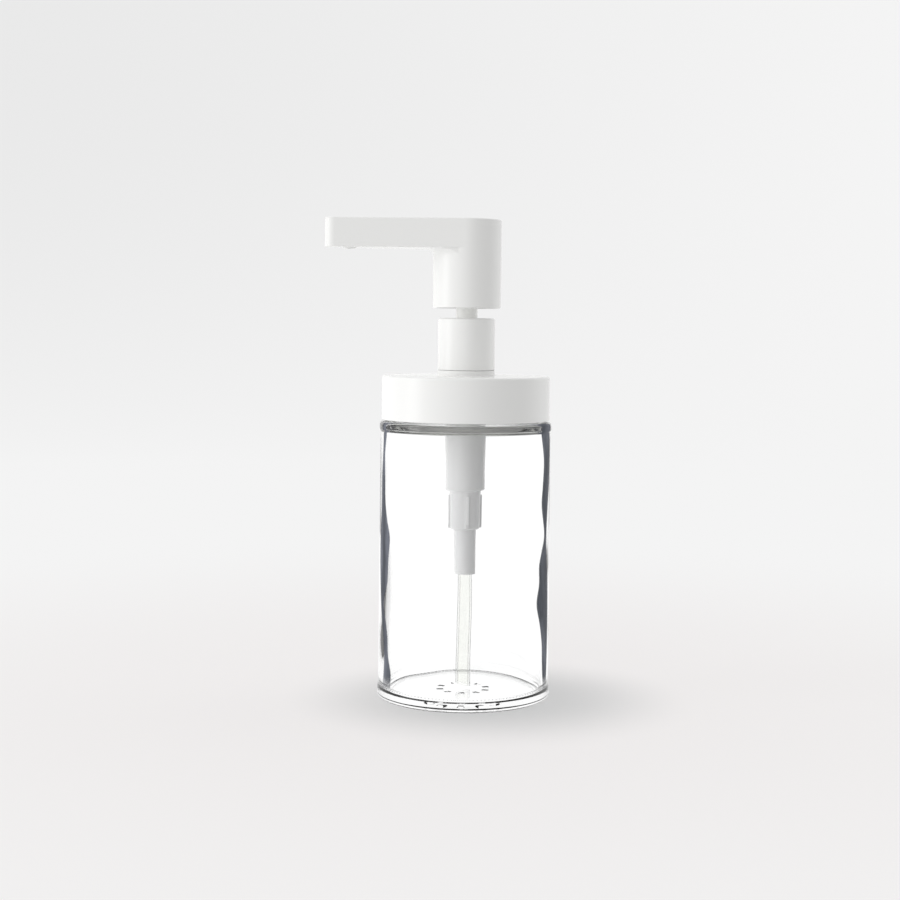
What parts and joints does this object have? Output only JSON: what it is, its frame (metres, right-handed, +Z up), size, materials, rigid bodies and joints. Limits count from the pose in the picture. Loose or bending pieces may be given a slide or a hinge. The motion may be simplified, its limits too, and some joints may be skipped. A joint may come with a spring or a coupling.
{
  "type": "soap pump dispenser",
  "caption": "Round clear glass bottle with a wide white screw cap and a press-down pump whose head carries a long tapering spout.",
  "frame": {"origin": "on the axis of the bottle, at the level it stands on", "axes": "+Z up along the axis, -X along the spout at rest, +Y to the far side seen with the spout on the left"},
  "size_m": [0.093, 0.07, 0.1935],
  "materials": {
    "clear_glass": "clear pressed soda-lime glass, gently uneven wall",
    "white_plastic": "glossy white moulded polypropylene",
    "natural_plastic": "satin natural polypropylene",
    "milky_plastic": "slightly translucent milky polypropylene",
    "soft_plastic": "soft low-density polyethylene",
    "foam_seal": "soft closed-cell sealing disc",
    "spring_steel": "drawn stainless wire",
    "valve_ball": "polished stainless ball",
    "clear_tube": "clear extruded tube"
  },
  "bodies": {
    "bottle": {"glass_bottle": "clear_glass"},
    "pump_core": {"pump_housing": "milky_plastic", "housing_gasket": "foam_seal", "collar": "white_plastic", "stem_guide": "natural_plastic", "ball_cage": "natural_plastic", "spring": "spring_steel", "dip_tube": "clear_tube"},
    "cap": {"cap_cover": "white_plastic", "closure": "natural_plastic", "neck_gasket": "foam_seal"},
    "piston_unit": {"piston": "soft_plastic"},
    "actuator": {"head_cover": "white_plastic", "stem_socket": "natural_plastic", "spout_tube": "natural_plastic", "spout_underplate": "white_plastic", "nozzle_tip": "white_plastic", "stem": "white_plastic", "piston_rod": "natural_plastic"},
    "inlet_valve": {"inlet_ball": "valve_ball"},
    "outlet_valve": {"outlet_ball": "valve_ball"}
  },
  "joints": [
    {"name": "pump_rise", "type": "slide", "parent": "bottle", "child": "pump_core", "axis": [0, 0, 1], "range_m": [0, 0.00501]},
    {"name": "cap_turn", "type": "hinge", "parent": "pump_core", "child": "cap", "pos_m": [0, 0, 0.112], "axis": [0, 0, 1], "range_deg": [0, 450]},
    {"name": "head_press", "type": "slide", "parent": "pump_core", "child": "piston_unit", "axis": [0, 0, -1], "range_m": [0, 0.015], "stiffness_N_per_m": 600, "springref_m": -0.01, "deforming": ["spring"]},
    {"name": "spout_swivel", "type": "hinge", "parent": "piston_unit", "child": "actuator", "pos_m": [0, 0, 0.15], "axis": [0, 0, 1], "continuous": true},
    {"name": "inlet_ball_lift", "type": "slide", "parent": "pump_core", "child": "inlet_valve", "axis": [0, 0, 1], "range_m": [0, 0.002]},
    {"name": "outlet_ball_lift", "type": "slide", "parent": "actuator", "child": "outlet_valve", "axis": [0, 0, 1], "range_m": [0, 0.0015]}
  ],
  "couplings": [
    {"joint": "pump_rise", "follows": "cap_turn", "m_per_rad": 0.00063662}
  ]
}
